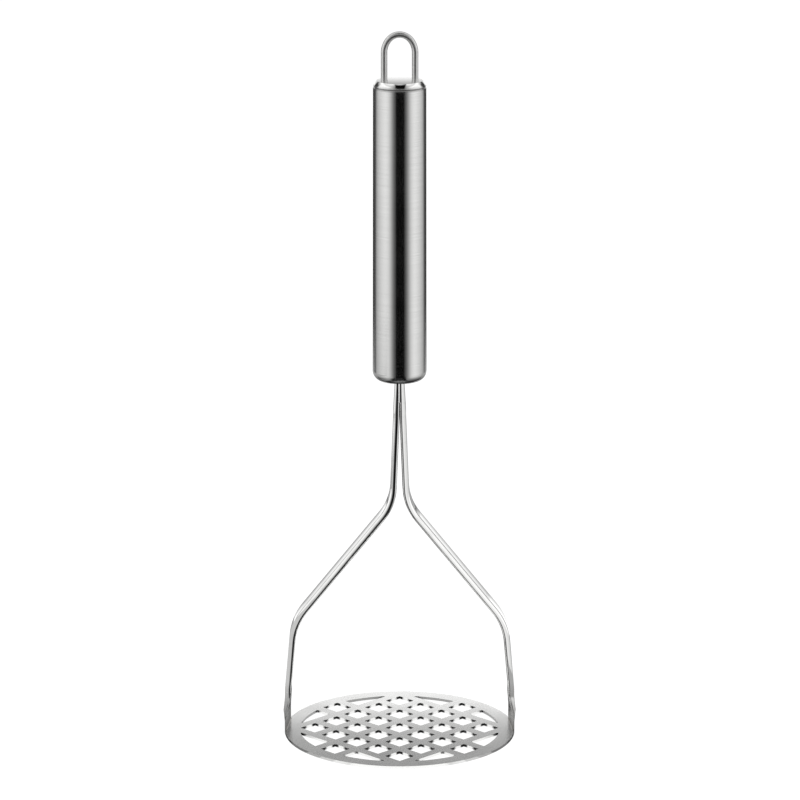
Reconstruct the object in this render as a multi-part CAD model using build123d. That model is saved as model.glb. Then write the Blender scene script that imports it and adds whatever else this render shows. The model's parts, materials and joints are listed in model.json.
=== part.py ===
from build123d import *
from math import atan2, cos, degrees, hypot, radians, sin, sqrt
import os

# All lengths are in millimetres and all angles in degrees.
# The origin is the middle of the plate's underside and +Z runs up towards the hanging loop.
# The legs stand left and right of the YZ plane, a little behind the middle of the plate.

# Mashing plate
plate_diameter = 90.0
plate_thickness = 1.0
rim_width = 5.8
hole_side = 7.9
hole_corner_radius = 0.3
hole_pitch = 16.6
hole_turn = 45.0

# Flat strip of the two legs, thinned at its upper end into a tang
strip_width = 10.5
strip_thickness = 2.5
tang_thickness = 1.8
tang_length = 24.0

# Feet, pressed wide and thin and set against flats on the rim of the plate
foot_width = 19.0
foot_thickness = 1.1
foot_plain_height = 4.5
foot_spread_height = 11.5
foot_angle = 5.5
foot_flare = 1.2
foot_ease = 1.0

# Rise of each stretch of a leg, from the foot up
ankle_rise = 1.0
shin_rise = 26.6
slope_rise = 47.9
thigh_rise = 35.0
joined_rise = 2.0
neck_rise = 12.15

# Sideways reach and bend radii of a leg
knee_inset = 2.35
hip_spread = 1.4
ankle_bend_radius = 8.0
knee_bend_radius = 23.0
hip_bend_radius = 21.0
neck_bend_radius = 60.0

# Handle tube
handle_length = 114.1
handle_diameter = 20.7
handle_taper = 0.5
handle_wall = 0.8
handle_bottom_bend = 3.8
seam_bevel = 0.35

# End cap
cap_height = 2.35
shoulder_width = 1.3
cap_wall = 1.0
skirt_wall = 0.8
skirt_depth = 8.0
shoulder_out_share = 0.62
shoulder_down_share = 0.5

# Hanging loop
loop_wire_diameter = 2.45
loop_span = 11.7
loop_height = 18.65
loop_tail = 3.0
arch_rise = 6.8
arch_out_share = 0.69
arch_up_share = 0.7235

# Weld beads
foot_weld_leg = 0.4
foot_weld_length = 15.0
tang_weld_leg = 1.2
loop_weld_leg = 1.0
neck_weld_length = 8.3

# Fits and cutting
slot_clearance = 0.1
skirt_clearance = 0.05
wire_clearance = 0.05
overrun = 5.0

# Places worked out from the sizes above
plate_radius = plate_diameter / 2
field_radius = plate_radius - rim_width
half_pitch = hole_pitch / 2
flat_distance = sqrt(plate_radius**2 - (foot_width / 2) ** 2)
foot_distance = flat_distance + foot_thickness / 2
foot_x = foot_distance * cos(radians(foot_angle))
setback = foot_distance * sin(radians(foot_angle))
ankle_x = foot_x - (strip_thickness - foot_thickness) / 2
knee_x = ankle_x - knee_inset
hip_x = strip_thickness / 2 + hip_spread

foot_top = foot_plain_height + foot_spread_height
ankle_z = foot_top + ankle_rise
knee_z = ankle_z + shin_rise
hip_z = knee_z + slope_rise
parting_z = hip_z + thigh_rise
joined_z = parting_z + joined_rise
handle_z = joined_z + neck_rise
floor_z = handle_z + handle_wall
seam_z = handle_z + handle_length
cap_z = seam_z + cap_height
ceiling_z = cap_z - cap_wall

bottom_radius = handle_diameter / 2
top_radius = bottom_radius - handle_taper / 2
skirt_radius = top_radius - handle_wall - skirt_clearance
wire_radius = loop_wire_diameter / 2
quarter_turn = degrees(atan2(1, 0))


def at(x, y, z):
    return Location((x, y, z))


# A body turned about the handle's own axis from an outline of radius and height
def turned(*edges):
    outline = make_face(Wire(edges))
    return at(0, setback, 0) * revolve(outline, Axis.Z)


# The round-edged section of a leg, lying flat with its width along Y
def strip_section(width, thickness, x, z, turn=0):
    return at(x, setback, z) * Rotation(0, 0, turn) * Rotation(Z=quarter_turn) * SlotOverall(width, thickness)


# A plate hole is a square on its corner, and one that the rim cuts short runs on along the web
def hole_outline(column, row):
    place = at(column * half_pitch, row * half_pitch, 0)
    plain = place * Rotation(0, 0, hole_turn) * RectangleRounded(hole_side, hole_side, hole_corner_radius)
    if column == 0 or row == 0 or abs(column) == abs(row):
        return plain
    column_step = column // abs(column)
    row_step = row // abs(row)
    if abs(column) > abs(row):
        row_step = -row_step
    else:
        column_step = -column_step
    next_column = column + column_step
    next_row = row + row_step
    if next_column * next_row == 0 or hypot(next_column, next_row) * half_pitch < field_radius:
        return plain
    way = Rotation(0, 0, degrees(atan2(row_step, column_step)))
    run = Rectangle(hole_side + half_pitch * sqrt(2), hole_side)
    between = at(column_step * half_pitch / 2, row_step * half_pitch / 2, 0)
    cut_short = place * between * way * run & Circle(field_radius)
    return fillet(cut_short.vertices(), hole_corner_radius)


def make_plate():
    blank = Circle(plate_radius)
    reach = int(field_radius / half_pitch) + 1
    for column in range(-reach, reach + 1):
        for row in range(-reach, reach + 1):
            inside = hypot(column, row) * half_pitch < field_radius
            if inside and (column + row) % 2 == 0:
                blank = blank - hole_outline(column, row)
    plate = extrude(blank, plate_thickness)
    cutter = Box(
        plate_radius - flat_distance + overrun,
        foot_width + overrun,
        plate_thickness + overrun,
        align=(Align.MIN, Align.CENTER, Align.CENTER),
    )
    right_flat = Rotation(0, 0, foot_angle) * at(flat_distance, 0, plate_thickness / 2) * cutter
    return plate - right_flat - mirror(right_flat, Plane.YZ)


# The feet are ground flush with the rim of the plate, and less and less towards the ankles
def ground_disc():
    return Cylinder(plate_radius, foot_plain_height, align=(Align.CENTER, Align.CENTER, Align.MIN))


def ground_cone():
    flare = Cone(
        plate_radius,
        plate_radius + foot_flare,
        foot_spread_height,
        align=(Align.CENTER, Align.CENTER, Align.MIN),
    )
    return at(0, 0, foot_plain_height) * flare


# A leg is one strip bent in a plane, with a thinned tang above and a spread foot below
def make_leg():
    bend_points = [
        (strip_thickness / 2, setback, joined_z),
        (strip_thickness / 2, setback, parting_z),
        (hip_x, setback, hip_z),
        (knee_x, setback, knee_z),
        (ankle_x, setback, ankle_z),
        (ankle_x, setback, foot_top),
    ]
    bend_radii = [neck_bend_radius, hip_bend_radius, knee_bend_radius, ankle_bend_radius]
    centre_line = FilletPolyline(*bend_points, radius=bend_radii)
    joined = strip_section(strip_width, strip_thickness, strip_thickness / 2, joined_z)
    gripped = strip_section(strip_width, tang_thickness, tang_thickness / 2, handle_z)
    ankle = strip_section(strip_width, strip_thickness, ankle_x, foot_top)
    ankle_start = strip_section(strip_width, strip_thickness, ankle_x, foot_top - foot_ease)
    instep = strip_section(foot_width, foot_thickness, foot_x, foot_plain_height, foot_angle)
    instep_end = strip_section(foot_width, foot_thickness, foot_x, foot_plain_height + foot_ease, foot_angle)
    strip = sweep(joined, path=centre_line)
    neck = loft([joined, gripped], ruled=True)
    tang = extrude(gripped, tang_length)
    spread = loft([instep, instep_end, ankle_start, ankle])
    sole = extrude(instep, -foot_plain_height)
    return strip + neck + tang + (spread & ground_cone()) + (sole & ground_disc())


# The handle is a slightly tapered drawn cup, closed and rounded below and slotted for the tangs
def make_handle():
    flat_radius = bottom_radius - handle_bottom_bend
    bend_z = handle_z + handle_bottom_bend
    cup = turned(
        Line((0, 0, handle_z), (flat_radius, 0, handle_z)),
        TangentArc((flat_radius, 0, handle_z), (bottom_radius, 0, bend_z), tangent=(1, 0, 0)),
        Line((bottom_radius, 0, bend_z), (top_radius, 0, seam_z - seam_bevel)),
        Line((top_radius, 0, seam_z - seam_bevel), (top_radius - seam_bevel, 0, seam_z)),
        Line((top_radius - seam_bevel, 0, seam_z), (top_radius - handle_wall, 0, seam_z)),
        Line((top_radius - handle_wall, 0, seam_z), (bottom_radius - handle_wall, 0, bend_z)),
        TangentArc((bottom_radius - handle_wall, 0, bend_z), (flat_radius, 0, floor_z), tangent=(0, 0, -1)),
        Line((flat_radius, 0, floor_z), (0, 0, floor_z)),
        Line((0, 0, floor_z), (0, 0, handle_z)),
    )
    slot = RectangleRounded(
        2 * (tang_thickness + slot_clearance),
        strip_width + 2 * slot_clearance,
        tang_thickness / 2,
    )
    slot = at(0, setback, handle_z - overrun) * extrude(slot, overrun + handle_bottom_bend)
    return cup - slot


# The cap has a bowed shoulder outside and a skirt that slips into the tube
def make_cap():
    flat_radius = top_radius - shoulder_width
    shoulder_z = seam_z + seam_bevel
    bow = (
        flat_radius + shoulder_out_share * shoulder_width,
        0,
        cap_z - shoulder_down_share * (cap_z - shoulder_z),
    )
    inner_radius = skirt_radius - skirt_wall
    skirt_z = seam_z - skirt_depth
    cap = turned(
        Line((0, 0, cap_z), (flat_radius, 0, cap_z)),
        ThreePointArc((flat_radius, 0, cap_z), bow, (top_radius, 0, shoulder_z)),
        Line((top_radius, 0, shoulder_z), (top_radius - seam_bevel, 0, seam_z)),
        Line((top_radius - seam_bevel, 0, seam_z), (skirt_radius, 0, seam_z)),
        Line((skirt_radius, 0, seam_z), (skirt_radius, 0, skirt_z)),
        Line((skirt_radius, 0, skirt_z), (inner_radius, 0, skirt_z)),
        Line((inner_radius, 0, skirt_z), (inner_radius, 0, ceiling_z)),
        Line((inner_radius, 0, ceiling_z), (0, 0, ceiling_z)),
        Line((0, 0, ceiling_z), (0, 0, cap_z)),
    )
    for side in (-1, 1):
        hole = Cylinder(wire_radius + wire_clearance, 2 * cap_wall + overrun)
        cap = cap - at(side * loop_span / 2, setback, ceiling_z) * hole
    return cap


# The loop is one round wire bent to a slightly pointed arch, with both tails through the cap
def make_loop():
    reach = loop_span / 2
    tail_z = ceiling_z - loop_tail
    spring_z = cap_z + loop_height - wire_radius - arch_rise
    turn_x = reach * arch_out_share
    turn_z = spring_z + arch_rise * arch_up_share
    rise = Line((reach, 0, tail_z), (reach, 0, spring_z))
    haunch = TangentArc((reach, 0, spring_z), (turn_x, 0, turn_z), tangent=(0, 0, 1))
    crown = TangentArc((turn_x, 0, turn_z), (-turn_x, 0, turn_z), tangent=haunch % 1)
    far_side = [mirror(stretch, Plane.YZ).edge() for stretch in (haunch, rise)]
    centre_line = Wire([rise, haunch, crown] + far_side)
    section = at(reach, 0, tail_z) * Circle(wire_radius)
    return at(0, setback, 0) * sweep(section, path=centre_line)


# A foot weld is a quarter-round bead with round ends, in the corner of the foot and the plate
def make_foot_weld():
    straight = foot_weld_length - 2 * foot_weld_leg
    bead = Rotation(X=quarter_turn) * Cylinder(foot_weld_leg, straight)
    for side in (-1, 1):
        bead = bead + at(0, side * straight / 2, 0) * Sphere(foot_weld_leg)
    corner = Box(
        foot_weld_leg + overrun,
        foot_weld_length + overrun,
        foot_weld_leg + overrun,
        align=(Align.MAX, Align.CENTER, Align.MIN),
    )
    return Rotation(0, 0, foot_angle) * at(flat_distance, 0, plate_thickness) * (bead & corner)


# A neck weld fills the groove between the two strips just under the handle
def make_neck_weld(side, legs):
    radius = tang_thickness / 2
    bead = Cylinder(radius, neck_weld_length - radius, align=(Align.CENTER, Align.CENTER, Align.MIN))
    bead = bead + Sphere(radius)
    place = at(0, setback + side * (strip_width / 2 - radius), handle_z - neck_weld_length + radius)
    return place * bead - legs


# The weld round the tangs sits on the floor of the tube
def make_tang_weld(legs, handle):
    wide = 2 * (tang_thickness + tang_weld_leg)
    deep = strip_width + 2 * tang_weld_leg
    base = RectangleRounded(wide, deep, tang_thickness / 2 + tang_weld_leg / 2)
    crest = RectangleRounded(wide - tang_weld_leg, deep - tang_weld_leg, tang_thickness / 2)
    bead = loft([at(0, 0, 0) * base, at(0, 0, tang_weld_leg) * crest], ruled=True)
    return at(0, setback, floor_z) * bead - legs - handle


# A loop weld is a cone of metal round a tail, against the inside of the cap
def make_loop_weld(side, loop, cap):
    bead = Cone(
        wire_radius + loop_weld_leg / 2,
        wire_radius + loop_weld_leg,
        loop_weld_leg,
        align=(Align.CENTER, Align.CENTER, Align.MAX),
    )
    return at(side * loop_span / 2, setback, ceiling_z) * bead - loop - cap


right_leg = make_leg()
left_leg = mirror(right_leg, Plane.YZ)
legs = right_leg + left_leg
handle_tube = make_handle()
end_cap = make_cap()
hanging_loop = make_loop()
foot_weld_right = make_foot_weld()

pieces = {
    "mashing_plate": make_plate(),
    "right_leg": right_leg,
    "left_leg": left_leg,
    "foot_weld_right": foot_weld_right,
    "foot_weld_left": mirror(foot_weld_right, Plane.YZ),
    "neck_weld_front": make_neck_weld(-1, legs),
    "neck_weld_rear": make_neck_weld(1, legs),
    "handle_tube": handle_tube,
    "tang_weld": make_tang_weld(legs, handle_tube),
    "end_cap": end_cap,
    "hanging_loop": hanging_loop,
    "loop_weld_right": make_loop_weld(1, hanging_loop, end_cap),
    "loop_weld_left": make_loop_weld(-1, hanging_loop, end_cap),
}

os.makedirs("parts", exist_ok=True)
for name, piece in pieces.items():
    export_step(piece, f"parts/{name}.step")
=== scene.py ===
import bpy
import json
import math
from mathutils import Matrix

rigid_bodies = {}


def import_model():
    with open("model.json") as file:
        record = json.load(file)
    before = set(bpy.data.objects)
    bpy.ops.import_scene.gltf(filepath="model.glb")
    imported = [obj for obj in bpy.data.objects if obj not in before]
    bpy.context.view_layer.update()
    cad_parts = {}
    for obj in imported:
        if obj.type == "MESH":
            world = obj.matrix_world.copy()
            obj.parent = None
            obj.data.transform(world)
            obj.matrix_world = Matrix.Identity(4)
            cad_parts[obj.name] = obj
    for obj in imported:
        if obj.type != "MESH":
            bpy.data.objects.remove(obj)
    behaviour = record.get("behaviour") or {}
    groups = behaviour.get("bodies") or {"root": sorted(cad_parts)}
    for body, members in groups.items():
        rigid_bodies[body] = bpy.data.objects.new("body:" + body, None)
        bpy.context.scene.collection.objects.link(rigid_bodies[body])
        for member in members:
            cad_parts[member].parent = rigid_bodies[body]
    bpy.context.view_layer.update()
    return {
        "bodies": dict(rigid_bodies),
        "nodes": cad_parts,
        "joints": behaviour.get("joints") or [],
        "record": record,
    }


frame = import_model()
nodes = frame["nodes"]
print("frame loaded:", len(nodes), "pieces")

perMetre = 1000  # mm; Blender works in metres and the finishes below are in mm
nodeLayout = {"columns": 8, "across": 230, "down": -300}  # how the node editor shows a tree


def hexColor(code):
    # sRGB hex to the linear values that the shaders take, by the numbers of the sRGB standard
    parts = [int(code[i:i + 2], 16) / 255 for i in (1, 3, 5)]
    linear = [p / 12.92 if p <= 0.04045 else ((p + 0.055) / 1.055) ** 2.4 for p in parts]
    return (*linear, 1.0)


def grey(light):
    return (light, light, light, 1)


def addNode(tree, kind, values=None, links=None, **settings):
    # values fill sockets and links feed them, by name or number; a linked node gives its first output
    # Mix takes its share in 0 and mixes numbers 2 and 3, or colours 6 and 7 to its output 2
    # Map Range turns 1 to 2 into 3 to 4, which are 0 to 1 where they are left out
    node = tree.nodes.new(kind)
    for name, value in settings.items():
        setattr(node, name, value)
    for socket, value in (values or {}).items():
        node.inputs[socket].default_value = value
    for socket, source in (links or {}).items():
        output = source.outputs[0] if isinstance(source, bpy.types.Node) else source
        tree.links.new(output, node.inputs[socket])
    row, column = divmod(len(tree.nodes) - 1, nodeLayout["columns"])
    node.location = (nodeLayout["across"] * column, nodeLayout["down"] * row)
    return node


def newMaterial(name):
    material = bpy.data.materials.new(name)
    material.use_nodes = True
    material.node_tree.nodes.clear()
    return material, material.node_tree


def setRamp(node, stops, end):
    # stops are (place, brightness) from left to right, and end is the place at the right edge
    ramp = node.color_ramp
    while len(ramp.elements) < len(stops):
        ramp.elements.new(0.5)
    for element, (place, light) in zip(ramp.elements, stops):
        element.position = place / end
        element.color = grey(light)


def dress(nodeName, material):
    obj = nodes[nodeName]
    obj.data.materials.clear()
    obj.data.materials.append(material)


# camera, matched to the rim and the hole pattern of the plate
cameraPlace = {
    "distance": 1.4616,   # m in front of the middle of the plate
    "height": 0.5053,     # m above the table
    "aside": 0.00015,     # m to the right
    "pitch": 14.265,      # degrees down
    "lens": 176.7,        # mm
    "sensor": 36,         # mm wide
    "clipEnd": 20,        # m
}
cameraData = bpy.data.cameras.new("studioCamera")
cameraData.lens = cameraPlace["lens"]
cameraData.sensor_width = cameraPlace["sensor"]
cameraData.clip_end = cameraPlace["clipEnd"]
cameraObject = bpy.data.objects.new("studioCamera", cameraData)
cameraObject.location = (cameraPlace["aside"], -cameraPlace["distance"], cameraPlace["height"])
cameraObject.rotation_euler = (math.radians(90 - cameraPlace["pitch"]), 0, 0)
bpy.context.scene.collection.objects.link(cameraObject)
bpy.context.scene.camera = cameraObject
print("camera set")


# painted shade along the seam between tube and cap, darkest in the groove and fading above and below it, on a
# duller surface there
paintedSeamShade = {
    "color": "#6A6A6A",
    "roughness": 0.5,
    "height": 254.85,     # mm above the table
    "reach": 1.1,         # mm that the dark fades over
    "depth": 0.62,        # share of dark in the middle
}


def seamShadeMask(tree, height):
    away = addNode(tree, "ShaderNodeMath", {1: paintedSeamShade["height"]}, {0: height}, operation="SUBTRACT")
    far = addNode(tree, "ShaderNodeMath", {}, {0: away}, operation="ABSOLUTE")
    return addNode(tree, "ShaderNodeMapRange", {1: 0.0, 2: paintedSeamShade["reach"], 3: paintedSeamShade["depth"], 4: 0.0},
                   {0: far})


# handle: stainless steel tube, turned against an abrasive belt
# the belt leaves level lines all round, so reflections stay crisp sideways and smear up and down
tubeFinish = {
    "color": "#E0E0DF",
    "lineColor": "#D6D6D5",
    "linePitch": 0.5,     # mm from line to line; real ones are near 0.1 mm and would not show
    "lineRun": 60.0,      # mm that one line runs round the tube
    "lineLevels": (0.35, 0.65),  # noise levels that count as full line colour and as plain
    "lineDepth": 0.0005,  # mm
    "lineStrength": 0.35,
    "roughness": (0.14, 0.17),   # where the belt pressed least and most
    "bandHeight": 12.0,   # mm, slow change where the belt pressed harder
    "bandLevels": (0.3, 0.7),    # noise levels that count as least and most
    "anisotropy": 0.75,
    "anisotropyTurn": 0.25,      # of a full turn, lays the smear across the lines
    # painted shade on the rounded bottom of the tube
    "bottomShadeColor": "#6B6B6B",
    # mm above the table at which the painted shade on the rounded bottom starts, and is full
    "bottomShadeHeight": (143.8, 142.2),
}


def brushedTubeSteel(finish):
    material, tree = newMaterial("brushedTubeSteel")
    spot = addNode(tree, "ShaderNodeTexCoord").outputs["Object"]
    wide, tall, band = (perMetre / finish[size] for size in ("lineRun", "linePitch", "bandHeight"))
    lineSpace = addNode(tree, "ShaderNodeVectorMath", {1: (wide, wide, tall)}, {0: spot},
                        operation="MULTIPLY")
    lines = addNode(tree, "ShaderNodeTexNoise", {"Scale": 1.0, "Detail": 3.0, "Roughness": 0.7},
                    {"Vector": lineSpace})
    bandSpace = addNode(tree, "ShaderNodeVectorMath", {1: (wide, wide, band)}, {0: spot},
                        operation="MULTIPLY")
    bands = addNode(tree, "ShaderNodeTexNoise", {"Scale": 1.0, "Detail": 1.0}, {"Vector": bandSpace})
    fullLine, plain = finish["lineLevels"]
    mark = addNode(tree, "ShaderNodeMapRange", {1: fullLine, 2: plain}, {0: lines})
    tone = addNode(tree, "ShaderNodeMix", {6: hexColor(finish["lineColor"]), 7: hexColor(finish["color"])},
                   {0: mark}, data_type="RGBA")
    (least, most), (smooth, coarse) = finish["bandLevels"], finish["roughness"]
    rough = addNode(tree, "ShaderNodeMapRange", {1: least, 2: most, 3: smooth, 4: coarse}, {0: bands})
    bump = addNode(tree, "ShaderNodeBump",
                   {"Strength": finish["lineStrength"], "Distance": finish["lineDepth"] / perMetre},
                   {"Height": lines})
    place = addNode(tree, "ShaderNodeSeparateXYZ", links={0: spot})
    height = addNode(tree, "ShaderNodeMath", {1: perMetre}, {0: place.outputs[2]}, operation="MULTIPLY")
    # painted shade along the seam with the cap
    seam = seamShadeMask(tree, height)
    # painted shade on the rounded bottom
    bottomStart, bottomFull = finish["bottomShadeHeight"]
    bottom = addNode(tree, "ShaderNodeMapRange", {1: bottomStart, 2: bottomFull}, {0: height})
    lower = addNode(tree, "ShaderNodeMix", {7: hexColor(finish["bottomShadeColor"])},
                    {0: bottom, 6: tone.outputs[2]}, data_type="RGBA")
    shade = addNode(tree, "ShaderNodeMix", {7: hexColor(paintedSeamShade["color"])}, {0: seam, 6: lower.outputs[2]},
                    data_type="RGBA")
    dull = addNode(tree, "ShaderNodeMix", {3: paintedSeamShade["roughness"]}, {0: seam, 2: rough}, data_type="FLOAT")
    around = addNode(tree, "ShaderNodeTangent", direction_type="RADIAL", axis="Z")
    steel = addNode(tree, "ShaderNodeBsdfPrincipled",
                    {"Metallic": 1.0, "Anisotropic": finish["anisotropy"],
                     "Anisotropic Rotation": finish["anisotropyTurn"]},
                    {"Base Color": shade.outputs[2], "Roughness": dull, "Normal": bump, "Tangent": around})
    addNode(tree, "ShaderNodeOutputMaterial", links={"Surface": steel})
    return material


# end cap: stainless steel pressing, buffed on a cloth wheel
# the wheel leaves a near mirror with faint haze, and its top is very slightly crowned
capFinish = {
    "color": "#EBEBEA",
    "roughness": (0.06, 0.11),   # clear and hazy
    "hazeSize": 6.0,      # mm across one cloudy patch
    "crown": 0.28,        # mm that the middle of the top stands above its edge
    "crownRadius": 8.8,   # mm
    "crownCentre": 4.27,  # mm behind the middle of the plate
}


def buffedCapSteel(finish):
    material, tree = newMaterial("buffedCapSteel")
    spot = addNode(tree, "ShaderNodeTexCoord").outputs["Object"]
    cloud = addNode(tree, "ShaderNodeTexNoise", {"Scale": perMetre / finish["hazeSize"], "Detail": 4.0},
                    {"Vector": spot})
    clear, hazy = finish["roughness"]
    rough = addNode(tree, "ShaderNodeMapRange", {3: clear, 4: hazy}, {0: cloud})
    place = addNode(tree, "ShaderNodeSeparateXYZ", links={0: spot})
    height = addNode(tree, "ShaderNodeMath", {1: perMetre}, {0: place.outputs[2]}, operation="MULTIPLY")
    # painted shade along the seam with the tube
    seam = seamShadeMask(tree, height)
    shade = addNode(tree, "ShaderNodeMix", {6: hexColor(finish["color"]), 7: hexColor(paintedSeamShade["color"])},
                    {0: seam}, data_type="RGBA")
    dull = addNode(tree, "ShaderNodeMix", {3: paintedSeamShade["roughness"]}, {0: seam, 2: rough}, data_type="FLOAT")
    # the crown falls with the square of the distance from the middle
    middle = (0, finish["crownCentre"] / perMetre, 0)
    centred = addNode(tree, "ShaderNodeVectorMath", {1: middle}, {0: spot}, operation="SUBTRACT")
    level = addNode(tree, "ShaderNodeVectorMath", {1: (1, 1, 0)}, {0: centred}, operation="MULTIPLY")
    square = addNode(tree, "ShaderNodeVectorMath", links={0: level, 1: level}, operation="DOT_PRODUCT")
    fall = -finish["crown"] / perMetre / (finish["crownRadius"] / perMetre) ** 2
    dome = addNode(tree, "ShaderNodeMath", {1: fall}, {0: square.outputs["Value"]}, operation="MULTIPLY")
    crown = addNode(tree, "ShaderNodeBump", {"Strength": 1.0, "Distance": 1.0}, {"Height": dome})
    steel = addNode(tree, "ShaderNodeBsdfPrincipled", {"Metallic": 1.0},
                    {"Base Color": shade.outputs[2], "Roughness": dull, "Normal": crown})
    addNode(tree, "ShaderNodeOutputMaterial", links={"Surface": steel})
    return material


# legs: stainless steel strip with rounded edges, drawn through a die and then polished
# drawing leaves long faint lines along the strip, and polishing makes it bright with small dull rubs
stripFinish = {
    "color": "#EDEDEC",
    "rubColor": "#DEDEDD",
    "roughness": 0.07,
    "rubRoughness": 0.15,
    "rubSize": 7.0,       # mm across one dull rub
    "rubLevels": (0.52, 0.72),  # noise levels at which a rub starts, and is full
    "drawPitch": 0.5,     # mm from draw line to draw line
    "drawRun": 40.0,      # mm along the strip
    "lineDepth": 0.001,   # mm
    "lineStrength": 0.3,
    # painted shade at the foot: darker, duller and less metallic towards the table
    "heatTintAndShadeColor": "#7A7977",
    "footShadeHeight": (20.0, 3.0),  # mm above the table at which the painted shade at the foot starts, and is full
    "footShadeRoughness": 0.3,
    "footShadeMetal": 0.80,    # share of metal left in the painted shade at the foot
    # painted shade on the rear half of the sides
    "rearShadeColor": "#484847",
    # mm behind the middle of the plate at which the painted shade on the rear half of the sides starts, and
    # is full
    "rearShadeDepth": (3.0, 7.5),
    # how far the surface turns to the rear, from 0 to 1, where it is all bright edge and where all dark side
    "rearShadeEdge": (0.45, 0.15),
    "pressHeights": (100.0, 46.0),  # mm above the table that count as neck and knee for the press
}
# the press left the front edge of each strip leaning sideways and its curve flatter
# lean: share that it turns to the right, less than nothing to the left, at the neck and from the knee down
# flat: share of the sideways curve that is gone, at the same two heights
# edge: how far the surface faces at which the lean starts, 0 is sideways and -1 is to the front
# neck is the ground weld between the strips
stripPress = {
    "left": {"lean": (-0.10, -0.36), "flat": (0.36, 0.50), "edge": 0.0},
    "right": {"lean": (0.70, 0.70), "flat": (0.0, 0.0), "edge": -0.7},
    "neck": {"lean": (-0.40, -0.40), "flat": (0.0, 0.0), "edge": 0.0},
}


def polishedStripSteel(finish, name, press):
    material, tree = newMaterial(name)
    spot = addNode(tree, "ShaderNodeTexCoord").outputs["Object"]
    fine, run = perMetre / finish["drawPitch"], perMetre / finish["drawRun"]
    lineSpace = addNode(tree, "ShaderNodeVectorMath", {1: (run, fine, run)}, {0: spot}, operation="MULTIPLY")
    lines = addNode(tree, "ShaderNodeTexNoise", {"Scale": 1.0, "Detail": 2.0}, {"Vector": lineSpace})
    rubs = addNode(tree, "ShaderNodeTexNoise",
                   {"Scale": perMetre / finish["rubSize"], "Detail": 5.0, "Roughness": 0.65},
                   {"Vector": spot})
    rubStart, rubFull = finish["rubLevels"]
    rubbed = addNode(tree, "ShaderNodeMapRange", {1: rubStart, 2: rubFull}, {0: rubs})
    tone = addNode(tree, "ShaderNodeMix", {6: hexColor(finish["color"]), 7: hexColor(finish["rubColor"])},
                   {0: rubbed}, data_type="RGBA")
    rough = addNode(tree, "ShaderNodeMapRange", {3: finish["roughness"], 4: finish["rubRoughness"]},
                    {0: rubbed})
    place = addNode(tree, "ShaderNodeSeparateXYZ", links={0: spot})

    # painted shade at the foot, and painted shade on the rear half of the sides
    shadeStart, shadeFull = (height / perMetre for height in finish["footShadeHeight"])
    footShade = addNode(tree, "ShaderNodeMapRange", {1: shadeStart, 2: shadeFull}, {0: place.outputs[2]})
    near, far = (depth / perMetre for depth in finish["rearShadeDepth"])
    shape = addNode(tree, "ShaderNodeNewGeometry")
    turnedTo = addNode(tree, "ShaderNodeSeparateXYZ", links={0: shape.outputs["Normal"]})
    brightEdge, darkSide = finish["rearShadeEdge"]
    aside = addNode(tree, "ShaderNodeMapRange", {1: brightEdge, 2: darkSide}, {0: turnedTo.outputs[1]})
    behind = addNode(tree, "ShaderNodeMapRange", {1: near, 2: far}, {0: place.outputs[1]})
    rear = addNode(tree, "ShaderNodeMath", {}, {0: aside, 1: behind}, operation="MULTIPLY")
    # painted shade on the rear half of the sides
    rearShaded = addNode(tree, "ShaderNodeMix", {7: hexColor(finish["rearShadeColor"])}, {0: rear, 6: tone.outputs[2]},
                     data_type="RGBA")
    # painted shade at the foot
    shade = addNode(tree, "ShaderNodeMix", {7: hexColor(finish["heatTintAndShadeColor"])},
                    {0: footShade, 6: rearShaded.outputs[2]}, data_type="RGBA")

    # the press turns the shading of the front edge sideways
    bump = addNode(tree, "ShaderNodeBump",
                   {"Strength": finish["lineStrength"], "Distance": finish["lineDepth"] / perMetre},
                   {"Height": lines})
    facing = addNode(tree, "ShaderNodeSeparateXYZ", links={0: bump})
    neck, knee = (height / perMetre for height in finish["pressHeights"])
    (neckLean, kneeLean), (neckFlat, kneeFlat) = press["lean"], press["flat"]
    lean = addNode(tree, "ShaderNodeMapRange", {1: neck, 2: knee, 3: neckLean, 4: kneeLean},
                   {0: place.outputs[2]})
    flat = addNode(tree, "ShaderNodeMapRange", {1: neck, 2: knee, 3: -neckFlat, 4: -kneeFlat},
                   {0: place.outputs[2]})
    forward = addNode(tree, "ShaderNodeMapRange", {1: press["edge"], 2: -1.0}, {0: facing.outputs[1]})
    pushed = addNode(tree, "ShaderNodeMath", {}, {0: forward, 1: lean}, operation="MULTIPLY")
    turned = addNode(tree, "ShaderNodeMath", {}, {0: facing.outputs[0], 1: flat, 2: pushed},
                     operation="MULTIPLY_ADD")
    sideways = addNode(tree, "ShaderNodeCombineXYZ", links={0: turned})
    leaning = addNode(tree, "ShaderNodeVectorMath", {}, {0: bump, 1: sideways}, operation="ADD")
    leant = addNode(tree, "ShaderNodeVectorMath", {}, {0: leaning}, operation="NORMALIZE")

    dull = addNode(tree, "ShaderNodeMix", {3: finish["footShadeRoughness"]}, {0: footShade, 2: rough},
                   data_type="FLOAT")
    steelShare = addNode(tree, "ShaderNodeMapRange", {3: 1.0, 4: finish["footShadeMetal"]}, {0: footShade})
    steel = addNode(tree, "ShaderNodeBsdfPrincipled", {},
                    {"Base Color": shade.outputs[2], "Metallic": steelShare, "Roughness": dull, "Normal": leant})
    addNode(tree, "ShaderNodeOutputMaterial", links={"Surface": steel})
    return material


# hanging loop: stainless steel spring wire, tumbled bright after bending
# tumbling leaves an even soft shine with tiny pits
wireFinish = {
    "color": "#D0D0CF",
    "pitColor": "#C4C4C3",
    "roughness": 0.34,
    "pitRoughness": 0.38,
    "pitSize": 0.7,       # mm; real pits are finer and would not show
    "pitLevels": (0.5, 0.75),  # noise levels at which a pit starts, and is full
    "pitDepth": 0.0002,   # mm
    "pitStrength": 0.3,
}


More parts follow.
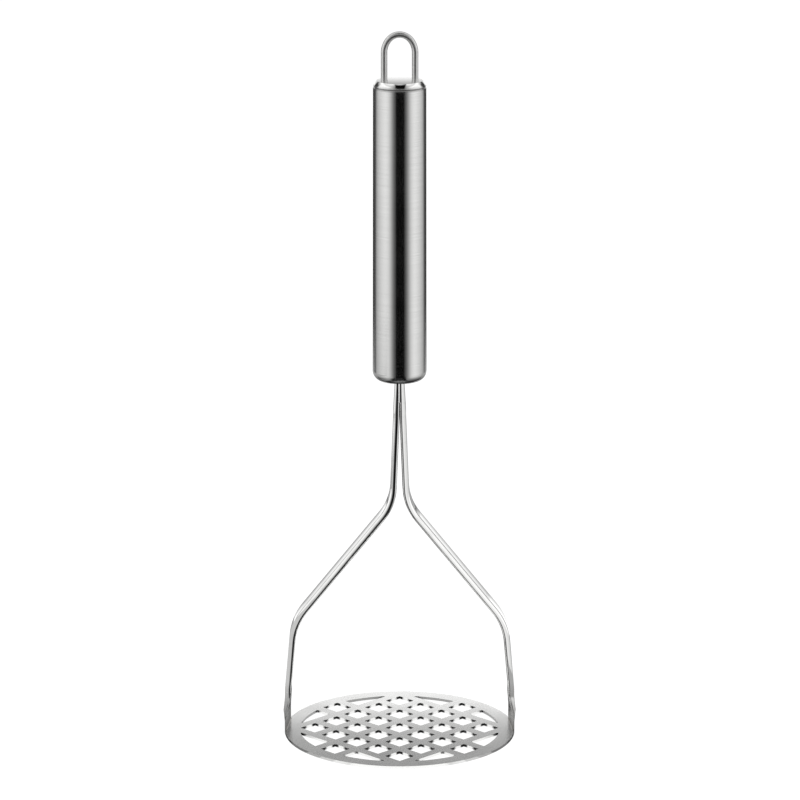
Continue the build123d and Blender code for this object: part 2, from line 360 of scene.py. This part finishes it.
def tumbledWireSteel(finish):
    material, tree = newMaterial("tumbledWireSteel")
    spot = addNode(tree, "ShaderNodeTexCoord").outputs["Object"]
    pits = addNode(tree, "ShaderNodeTexNoise", {"Scale": perMetre / finish["pitSize"], "Detail": 3.0},
                   {"Vector": spot})
    pitStart, pitFull = finish["pitLevels"]
    pitted = addNode(tree, "ShaderNodeMapRange", {1: pitStart, 2: pitFull}, {0: pits})
    tone = addNode(tree, "ShaderNodeMix", {6: hexColor(finish["color"]), 7: hexColor(finish["pitColor"])},
                   {0: pitted}, data_type="RGBA")
    rough = addNode(tree, "ShaderNodeMapRange", {3: finish["roughness"], 4: finish["pitRoughness"]},
                    {0: pitted})
    bump = addNode(tree, "ShaderNodeBump",
                   {"Strength": finish["pitStrength"], "Distance": finish["pitDepth"] / perMetre},
                   {"Height": pits}, invert=True)
    steel = addNode(tree, "ShaderNodeBsdfPrincipled", {"Metallic": 1.0},
                    {"Base Color": tone.outputs[2], "Roughness": rough, "Normal": bump})
    addNode(tree, "ShaderNodeOutputMaterial", links={"Surface": steel})
    return material


# mashing plate: stainless steel sheet, punched and then vibrated with ceramic chips
# the chips leave a satin face of countless tiny scratches, and the corners of the holes carry painted shade
plateFinish = {
    "color": "#E2E2E1",
    "grainColor": "#D9D9D8",
    "grainSize": 0.9,     # mm; drawn coarser than the real scratches so that it shows
    "grainLevels": (0.35, 0.65),  # noise levels that count as full grain colour and as plain
    "grainDepth": 0.0025,  # mm
    "grainStrength": 0.25,
    "roughness": (0.19, 0.26),    # least and most over the clouds
    "cloudSize": 14.0,    # mm, slow change of tone over the sheet
    "cloudLevels": (0.3, 0.7),    # noise levels that count as least and most
    "wallColor": "#EFEFEE",
    "wallRoughness": 0.18,
    # painted shade in the corners and tips of the holes
    "holeShadeColor": "#363636",
    "holeShadeRoughness": 0.6,
    "holeHalfPitch": 8.3,  # mm from the middle of a hole to the row where its neighbours point
    "farTip": (1.5, 0.95),    # mm from the front or rear tip of a hole where the painted shade starts, and is full
    "sideTip": (2.6, 1.7),    # the same from the left or right tip
    "wholeHoles": 9.5,        # sum of squared steps along the two slants, above which the rim cuts a hole
    "cornerReach": 2.0,   # mm that a corner of a cut hole looks round for its other wall
    "cornerOpenness": (0.94, 0.72),  # openness at which the painted shade starts there, and is full
    "rimWall": (39.2, 0.9),   # mm from the middle to the wall where the rim cuts a hole, and its spread
    "rimShare": 0.6,          # share of painted shade on that wall
}


def satinSheetSteel(finish):
    material, tree = newMaterial("satinSheetSteel")
    spot = addNode(tree, "ShaderNodeTexCoord").outputs["Object"]
    grain = addNode(tree, "ShaderNodeTexNoise",
                    {"Scale": perMetre / finish["grainSize"], "Detail": 4.0, "Roughness": 0.7},
                    {"Vector": spot})
    clouds = addNode(tree, "ShaderNodeTexNoise", {"Scale": perMetre / finish["cloudSize"], "Detail": 3.0},
                     {"Vector": spot})
    fullGrain, plain = finish["grainLevels"]
    speck = addNode(tree, "ShaderNodeMapRange", {1: fullGrain, 2: plain}, {0: grain})
    face = addNode(tree, "ShaderNodeMix", {6: hexColor(finish["grainColor"]), 7: hexColor(finish["color"])},
                   {0: speck}, data_type="RGBA")
    (least, most), (smooth, coarse) = finish["cloudLevels"], finish["roughness"]
    faceRough = addNode(tree, "ShaderNodeMapRange", {1: least, 2: most, 3: smooth, 4: coarse}, {0: clouds})
    shape = addNode(tree, "ShaderNodeNewGeometry")
    upright = addNode(tree, "ShaderNodeSeparateXYZ", links={0: shape.outputs["True Normal"]})
    lying = addNode(tree, "ShaderNodeMath", {}, {0: upright.outputs[2]}, operation="ABSOLUTE")
    openness = addNode(tree, "ShaderNodeAmbientOcclusion", {"Distance": finish["cornerReach"] / perMetre},
                       samples=16, only_local=True)
    wide, tight = finish["cornerOpenness"]
    corner = addNode(tree, "ShaderNodeMapRange", {1: wide, 2: tight}, {0: openness.outputs["AO"]})

    # painted shade in whole holes: at their tips, measured from the nearest row of tips across and along
    pitch = finish["holeHalfPitch"]
    halfStep = 0.5
    grid = addNode(tree, "ShaderNodeVectorMath", {1: (perMetre / pitch,) * 3}, {0: spot},
                   operation="MULTIPLY")
    rows = addNode(tree, "ShaderNodeSeparateXYZ", links={0: grid})
    tipMasks = []
    for axis, tip in ((0, "farTip"), (1, "sideTip")):
        start, full = (reach / pitch for reach in finish[tip])
        beside = addNode(tree, "ShaderNodeMath", {1: halfStep}, {0: rows.outputs[axis]}, operation="PINGPONG")
        tipMasks.append(addNode(tree, "ShaderNodeMapRange", {1: start, 2: full}, {0: beside}))
    tips = addNode(tree, "ShaderNodeMath", {}, {0: tipMasks[0], 1: tipMasks[1]}, operation="MAXIMUM")

    # a hole is whole where its steps from the middle, along the two slants, keep it clear of the rim
    squares = []
    for slant in ((halfStep, halfStep, 0), (halfStep, -halfStep, 0)):
        steps = addNode(tree, "ShaderNodeVectorMath", {1: slant}, {0: grid}, operation="DOT_PRODUCT")
        nearest = addNode(tree, "ShaderNodeMath", {}, {0: steps.outputs["Value"]}, operation="ROUND")
        squares.append(addNode(tree, "ShaderNodeMath", {}, {0: nearest, 1: nearest}, operation="MULTIPLY"))
    outward = addNode(tree, "ShaderNodeMath", {}, {0: squares[0], 1: squares[1]}, operation="ADD")
    whole = addNode(tree, "ShaderNodeMath", {1: finish["wholeHoles"]}, {0: outward}, operation="LESS_THAN")

    # painted shade in cut holes: in their corners, and some on the wall along the rim
    wallAt, wallReach = (size / pitch for size in finish["rimWall"])
    away = addNode(tree, "ShaderNodeVectorMath", links={0: grid}, operation="LENGTH")
    rimWall = addNode(tree, "ShaderNodeMath", {1: wallAt, 2: wallReach}, {0: away.outputs["Value"]},
                      operation="COMPARE")
    rimWallShade = addNode(tree, "ShaderNodeMath", {1: finish["rimShare"]}, {0: rimWall}, operation="MULTIPLY")
    cut = addNode(tree, "ShaderNodeMath", {}, {0: corner, 1: rimWallShade}, operation="MAXIMUM")
    holeShade = addNode(tree, "ShaderNodeMix", {}, {0: whole, 2: cut, 3: tips}, data_type="FLOAT")

    # painted shade on the walls of the holes
    wall = addNode(tree, "ShaderNodeMix",
                   {6: hexColor(finish["wallColor"]), 7: hexColor(finish["holeShadeColor"])},
                   {0: holeShade}, data_type="RGBA")
    wallRough = addNode(tree, "ShaderNodeMapRange",
                        {3: finish["wallRoughness"], 4: finish["holeShadeRoughness"]},
                        {0: holeShade})
    tone = addNode(tree, "ShaderNodeMix", {}, {0: lying, 6: wall.outputs[2], 7: face.outputs[2]},
                   data_type="RGBA")
    rough = addNode(tree, "ShaderNodeMix", {}, {0: lying, 2: wallRough, 3: faceRough}, data_type="FLOAT")
    bump = addNode(tree, "ShaderNodeBump",
                   {"Strength": finish["grainStrength"], "Distance": finish["grainDepth"] / perMetre},
                   {"Height": grain})
    steel = addNode(tree, "ShaderNodeBsdfPrincipled", {"Metallic": 1.0},
                    {"Base Color": tone.outputs[2], "Roughness": rough, "Normal": bump})
    addNode(tree, "ShaderNodeOutputMaterial", links={"Surface": steel})
    return material


# welds: stainless steel melted with an arc, left as it froze
# ripples cross the bead and the heat leaves it darker, with a breath of straw
weldFinish = {
    "color": "#9A9894",
    "heatTintAndShadeColor": "#6C6963",
    "roughness": 0.30,
    "ripplePitch": 0.45,  # mm
    "rippleDepth": 0.03,  # mm
    "rippleStrength": 0.6,
}


def arcWeldSteel(finish):
    material, tree = newMaterial("arcWeldSteel")
    spot = addNode(tree, "ShaderNodeTexCoord").outputs["Object"]
    ripple = addNode(tree, "ShaderNodeTexNoise", {"Scale": perMetre / finish["ripplePitch"], "Detail": 2.0},
                     {"Vector": spot})
    tone = addNode(tree, "ShaderNodeMix", {6: hexColor(finish["heatTintAndShadeColor"]), 7: hexColor(finish["color"])},
                   {0: ripple}, data_type="RGBA")
    bump = addNode(tree, "ShaderNodeBump",
                   {"Strength": finish["rippleStrength"], "Distance": finish["rippleDepth"] / perMetre},
                   {"Height": ripple})
    steel = addNode(tree, "ShaderNodeBsdfPrincipled", {"Metallic": 1.0, "Roughness": finish["roughness"]},
                    {"Base Color": tone.outputs[2], "Normal": bump})
    addNode(tree, "ShaderNodeOutputMaterial", links={"Surface": steel})
    return material


dress("handle_tube", brushedTubeSteel(tubeFinish))
dress("end_cap", buffedCapSteel(capFinish))
for side in ("left", "right"):
    dress(f"{side}_leg", polishedStripSteel(stripFinish, f"{side}StripSteel", stripPress[side]))
neckSteel = polishedStripSteel(stripFinish, "groundNeckSteel", stripPress["neck"])
for face in ("front", "rear"):
    dress(f"neck_weld_{face}", neckSteel)  # ground flush and polished with the strips
dress("hanging_loop", tumbledWireSteel(wireFinish))
dress("mashing_plate", satinSheetSteel(plateFinish))
weldSteel = arcWeldSteel(weldFinish)
for weld in ("foot_weld_left", "foot_weld_right", "tang_weld", "loop_weld_left", "loop_weld_right"):
    dress(weld, weldSteel)
print("materials set")


halfTurn, quarterTurn = 180, 90  # degrees
# studio: bright walls left and right, and at the front a dark band with the camera in it and a window above
# behind, it is dark low down and in the corners, with a pale wall higher up, and the ceiling holds a lamp
# brightness is that of the room in that direction, 1 is white
# sideways, backward and upward shares are the x, y and z of the direction, from -1 to 1
studio = {
    "bandTurn": 0.04,     # sideways share at which the dark band has its middle
    "bandEdge": (0.28, 0.34),  # sideways shares from it where the band starts to fade, and ends
    "bandLight": 0.002,
    "frontEdge": (0.25, 0.05),  # backward shares at which the band and the window begin, and are full
    "window": (0.15, 0.23, 0.46, 0.54),  # upward shares at which the window starts, is full, fades and ends
    "windowSides": (50, 30),    # degrees round from the front at which it starts, and is full
    "windowLight": 0.70,
    "ceiling": (0.90, 0.96),  # upward shares at which the ceiling lamp starts, and is full
    "ceilingLight": 0.90,
    "horizon": (-0.15, -0.06),  # upward shares at which low turns to high
    # (degrees round from the front, brightness) for what lies below the horizon
    "low": [(0, 0.05), (18, 0.06), (26, 0.12), (34, 0.33), (42, 0.62), (52, 0.90), (64, 1.02), (74, 0.98),
            (86, 0.86), (98, 0.73), (112, 0.55), (122, 0.42), (128, 0.14), (140, 0.06), (180, 0.03)],
    "floor": (-0.35, -1.0),   # upward shares at which the floor starts to dim, and is at its share below
    "floorShare": 0.15,       # brightness straight down as a share of that of the walls
    # the same above the horizon
    "high": [(0, 0.10), (20, 0.12), (33, 0.50), (48, 0.85), (60, 1.10), (90, 1.25), (180, 1.25)],
    # (degrees up, share of that brightness) left and right
    "arch": [(0, 1.0), (33, 0.90), (40, 1.05), (47, 0.68), (54, 0.80), (62, 0.95), (90, 1.0)],
    # (degrees up, share of that brightness) straight behind
    "climb": [(0, 0.95), (4, 0.85), (10, 0.62), (16, 0.37), (22, 0.20), (30, 0.18), (45, 0.45), (65, 1.0),
              (90, 1.0)],
    "behind": (0.70, 0.86),   # shares of the half turn round at which arch turns to climb
    # (degrees round, share of shade) of the dark corners behind, and the upward shares where these end
    "corners": [(0, 0), (108, 0), (120, 1), (144, 1), (150, 0), (180, 0)],
    "cornerTop": (0.36, 0.60),
    "cornerLight": 0.05,
}


def studioWorld(room):
    world = bpy.data.worlds.new("studioWorld")
    world.use_nodes = True
    bpy.context.scene.world = world
    tree = world.node_tree
    tree.nodes.clear()
    way = addNode(tree, "ShaderNodeTexCoord")
    xyz = addNode(tree, "ShaderNodeSeparateXYZ", links={0: way.outputs["Generated"]})
    x, y, z = xyz.outputs

    # how far round from the front, as a share of the half turn, and how far up, of the quarter turn
    front = addNode(tree, "ShaderNodeMath", {1: -1.0}, {0: y}, operation="MULTIPLY")
    turn = addNode(tree, "ShaderNodeMath", {}, {0: x, 1: front}, operation="ARCTAN2")
    shifted = addNode(tree, "ShaderNodeMath", {1: room["bandTurn"]}, {0: turn}, operation="SUBTRACT")
    aside = addNode(tree, "ShaderNodeMath", {}, {0: shifted}, operation="ABSOLUTE")
    share = addNode(tree, "ShaderNodeMath", {1: math.pi}, {0: aside}, operation="DIVIDE")
    rise = addNode(tree, "ShaderNodeMath", {}, {0: z}, operation="ARCSINE")
    riseShare = addNode(tree, "ShaderNodeMath", {1: math.pi / 2}, {0: rise}, operation="DIVIDE")

    # below the horizon
    low = addNode(tree, "ShaderNodeValToRGB", links={0: share})
    setRamp(low, room["low"], halfTurn)
    dimming, dim = room["floor"]
    steep = addNode(tree, "ShaderNodeMapRange", {1: dimming, 2: dim, 3: 1.0, 4: room["floorShare"]}, {0: z})
    lower = addNode(tree, "ShaderNodeMix", {0: 1.0}, {6: low, 7: steep}, data_type="RGBA",
                    blend_type="MULTIPLY")

    # above the horizon
    high = addNode(tree, "ShaderNodeValToRGB", links={0: share})
    setRamp(high, room["high"], halfTurn)
    climb = addNode(tree, "ShaderNodeValToRGB", links={0: riseShare})
    setRamp(climb, room["climb"], quarterTurn)
    arch = addNode(tree, "ShaderNodeValToRGB", links={0: riseShare})
    setRamp(arch, room["arch"], quarterTurn)
    archEnd, climbStart = room["behind"]
    behind = addNode(tree, "ShaderNodeMapRange", {1: archEnd, 2: climbStart}, {0: share})
    fading = addNode(tree, "ShaderNodeMix", {}, {0: behind, 6: arch, 7: climb}, data_type="RGBA")
    wall = addNode(tree, "ShaderNodeMix", {0: 1.0}, {6: high, 7: fading.outputs[2]}, data_type="RGBA",
                   blend_type="MULTIPLY")
    corners = addNode(tree, "ShaderNodeValToRGB", links={0: share})
    setRamp(corners, room["corners"], halfTurn)
    cornerFade, cornerEnd = room["cornerTop"]
    shallow = addNode(tree, "ShaderNodeMapRange", {1: cornerEnd, 2: cornerFade}, {0: z})
    shaded = addNode(tree, "ShaderNodeMath", {}, {0: corners, 1: shallow}, operation="MULTIPLY")
    cornered = addNode(tree, "ShaderNodeMix", {7: grey(room["cornerLight"])}, {0: shaded, 6: wall.outputs[2]},
                       data_type="RGBA")
    allLow, allHigh = room["horizon"]
    horizon = addNode(tree, "ShaderNodeMapRange", {1: allLow, 2: allHigh}, {0: z})
    whole = addNode(tree, "ShaderNodeMix", {}, {0: horizon, 6: lower.outputs[2], 7: cornered.outputs[2]},
                    data_type="RGBA")

    # the dark band at the front
    sideways = addNode(tree, "ShaderNodeMath", {1: room["bandTurn"]}, {0: x}, operation="SUBTRACT")
    sideShare = addNode(tree, "ShaderNodeMath", {}, {0: sideways}, operation="ABSOLUTE")
    bandFade, bandEnd = room["bandEdge"]
    band = addNode(tree, "ShaderNodeMapRange", {1: bandEnd, 2: bandFade}, {0: sideShare})
    frontStart, frontFull = room["frontEdge"]
    before = addNode(tree, "ShaderNodeMapRange", {1: frontStart, 2: frontFull}, {0: y})
    dark = addNode(tree, "ShaderNodeMath", {}, {0: band, 1: before}, operation="MULTIPLY")
    darkened = addNode(tree, "ShaderNodeMix", {7: grey(room["bandLight"])}, {0: dark, 6: whole.outputs[2]},
                       data_type="RGBA")

    # the window over the camera
    sill, pane, lintel, top = room["window"]
    opening = addNode(tree, "ShaderNodeMapRange", {1: sill, 2: pane}, {0: z})
    closing = addNode(tree, "ShaderNodeMapRange", {1: top, 2: lintel}, {0: z})
    glazed = addNode(tree, "ShaderNodeMath", {}, {0: opening, 1: closing}, operation="MULTIPLY")
    facing = addNode(tree, "ShaderNodeMath", {}, {0: glazed, 1: before}, operation="MULTIPLY")
    frame, glass = (angle / halfTurn for angle in room["windowSides"])
    nearFront = addNode(tree, "ShaderNodeMapRange", {1: frame, 2: glass}, {0: share})
    window = addNode(tree, "ShaderNodeMath", {}, {0: facing, 1: nearFront}, operation="MULTIPLY")
    banded = addNode(tree, "ShaderNodeMix", {7: grey(room["windowLight"])},
                     {0: window, 6: darkened.outputs[2]}, data_type="RGBA")

    # the ceiling lamp
    lampStart, lampFull = room["ceiling"]
    lampShare = addNode(tree, "ShaderNodeMapRange", {1: lampStart, 2: lampFull}, {0: z})
    ceiling = addNode(tree, "ShaderNodeMix", {7: grey(room["ceilingLight"])},
                      {0: lampShare, 6: banded.outputs[2]}, data_type="RGBA")

    # the camera itself sees plain white
    ray = addNode(tree, "ShaderNodeLightPath")
    seen = addNode(tree, "ShaderNodeMix", {7: grey(1)},
                   {0: ray.outputs["Is Camera Ray"], 6: ceiling.outputs[2]}, data_type="RGBA")
    glow = addNode(tree, "ShaderNodeBackground", {"Strength": 1.0}, {"Color": seen.outputs[2]})
    addNode(tree, "ShaderNodeOutputWorld", links={"Surface": glow})


studioWorld(studio)

# reflector cards that only the steel sees, light is a share of white
# low and high are opposite corners in m of a card that lies level or stands square; others list theirs
cards = {
    # low behind the plate, fades the plate from its far side to its near side
    "behindPlate": {"low": (-0.055, 0.125, 0.0), "high": (0.080, 0.125, 0.042), "light": 1.25},
    # the paper under the holes and under the front edge, bright on the walls of the holes and on the edge
    "underHoles": {"low": (-0.037, -0.037, -0.0008), "high": (0.037, 0.037, -0.0008), "light": 1.05},
    "frontEdge": {"low": (-0.022, -0.054, -0.001), "high": (0.022, -0.043, -0.001), "light": 1.15},
    # the shade before the plate, the dark line down the lower half of the left leg
    "frontShade": {"corners": [(-0.105, -0.190, 0.0), (0.045, -0.190, 0.0), (0.045, -0.028, 0.0),
                               (0.032, -0.042, 0.0), (0.023, -0.056, 0.0), (-0.023, -0.056, 0.0),
                               (-0.032, -0.042, 0.0), (-0.050, -0.020, 0.0), (-0.066, -0.050, 0.0),
                               (-0.105, -0.090, 0.0)], "light": 0.03},
    # dim screens beside the legs, grey in their outer sides
    "besideLeft": {"low": (-0.075, -0.045, 0.0), "high": (-0.075, 0.08, 0.062), "light": 0.65},
    "besideRight": {"low": (0.075, -0.09, 0.0), "high": (0.075, 0.08, 0.016), "light": 0.45},
    # the table far left and behind, grey in the outer sides of the strips at the neck
    "tableLeft": {"low": (-0.50, -0.30, 0.0), "high": (-0.33, 0.12, 0.0), "light": 0.42},
    "tableBehind": {"low": (-0.4, 0.13, 0.0), "high": (0.4, 0.58, 0.0), "light": 0.45},
}
# the paper in the shade of the rim, left and right of the front, darker further round
rimShade = {
    "inner": 0.046,     # m from the middle of the plate
    "outer": 0.054,     # m
    "height": -0.0005,  # m
    # (degrees round from the front where a step starts, where it ends, light)
    "steps": [(36, 45, 0.70), (45, 55, 0.45), (55, 72, 0.20)],
}


def rimCards(shade):
    made = {}
    for side, sign in (("Left", -1), ("Right", 1)):
        for first, last, light in shade["steps"]:
            ring = [(shade["inner"], first), (shade["inner"], last),
                    (shade["outer"], last), (shade["outer"], first)]
            corners = []
            for radius, angle in ring:
                turn = math.radians(sign * angle)
                corners.append((radius * math.sin(turn), -radius * math.cos(turn), shade["height"]))
            made[f"rim{side}{first}"] = {"corners": corners, "light": light}
    return made


def cardCorners(card):
    if "corners" in card:
        return card["corners"]
    low, high = card["low"], card["high"]
    first, second = [axis for axis in range(3) if low[axis] != high[axis]]
    corners = []
    for one, other in ((low, low), (high, low), (high, high), (low, high)):
        corner = list(low)
        corner[first], corner[second] = one[first], other[second]
        corners.append(tuple(corner))
    return corners


def reflectorCard(name, card):
    corners = cardCorners(card)
    mesh = bpy.data.meshes.new(name)
    mesh.from_pydata(corners, [], [tuple(range(len(corners)))])
    obj = bpy.data.objects.new(name, mesh)
    bpy.context.scene.collection.objects.link(obj)
    material, tree = newMaterial(f"{name}Card")
    light = addNode(tree, "ShaderNodeEmission", {"Strength": card["light"]})
    addNode(tree, "ShaderNodeOutputMaterial", links={"Surface": light})
    obj.data.materials.append(material)
    obj.visible_camera = False
    obj.visible_diffuse = False
    obj.visible_shadow = False


cards.update(rimCards(rimShade))
for cardName, card in cards.items():
    reflectorCard(cardName, card)

# table: pale paper, white to the eye, with the soft shadow of the masher left in
table = {
    "size": 6.0,          # m
    "drop": 0.0001,       # m that it lies below the plate, so that the two never share a face
    "white": 0.86,        # share that is plain white
    "paperColor": "#8A8A8A",
}


def paperTable(settings):
    half = settings["size"] / 2
    mesh = bpy.data.meshes.new("paperTable")
    mesh.from_pydata([(-half, -half, 0), (half, -half, 0), (half, half, 0), (-half, half, 0)], [],
                     [(0, 1, 2, 3)])
    obj = bpy.data.objects.new("paperTable", mesh)
    obj.location = (0, 0, -settings["drop"])
    bpy.context.scene.collection.objects.link(obj)
    material, tree = newMaterial("whitePaper")
    white = addNode(tree, "ShaderNodeEmission", {"Color": grey(1), "Strength": settings["white"]})
    paper = addNode(tree, "ShaderNodeBsdfDiffuse", {"Color": hexColor(settings["paperColor"])})
    shown = addNode(tree, "ShaderNodeAddShader", links={0: white, 1: paper})
    clear = addNode(tree, "ShaderNodeBsdfTransparent")
    ray = addNode(tree, "ShaderNodeLightPath")
    mixed = addNode(tree, "ShaderNodeMixShader", links={0: ray.outputs["Is Camera Ray"], 1: clear, 2: shown})
    addNode(tree, "ShaderNodeOutputMaterial", links={"Surface": mixed})
    obj.data.materials.append(material)


paperTable(table)

# one soft lamp overhead gives the table its shadow
lamp = {
    "place": (0.15, -0.25, 1.3),  # m
    "size": 0.6,                  # m
    "power": 4.0,                 # W
}
lampData = bpy.data.lights.new("softLamp", "AREA")
lampData.size = lamp["size"]
lampData.energy = lamp["power"]
lampObject = bpy.data.objects.new("softLamp", lampData)
lampObject.location = lamp["place"]
lampObject.visible_glossy = False  # the steel sees the walls alone
bpy.context.scene.collection.objects.link(lampObject)
bpy.context.scene.view_settings.view_transform = "Standard"
print("studio set")
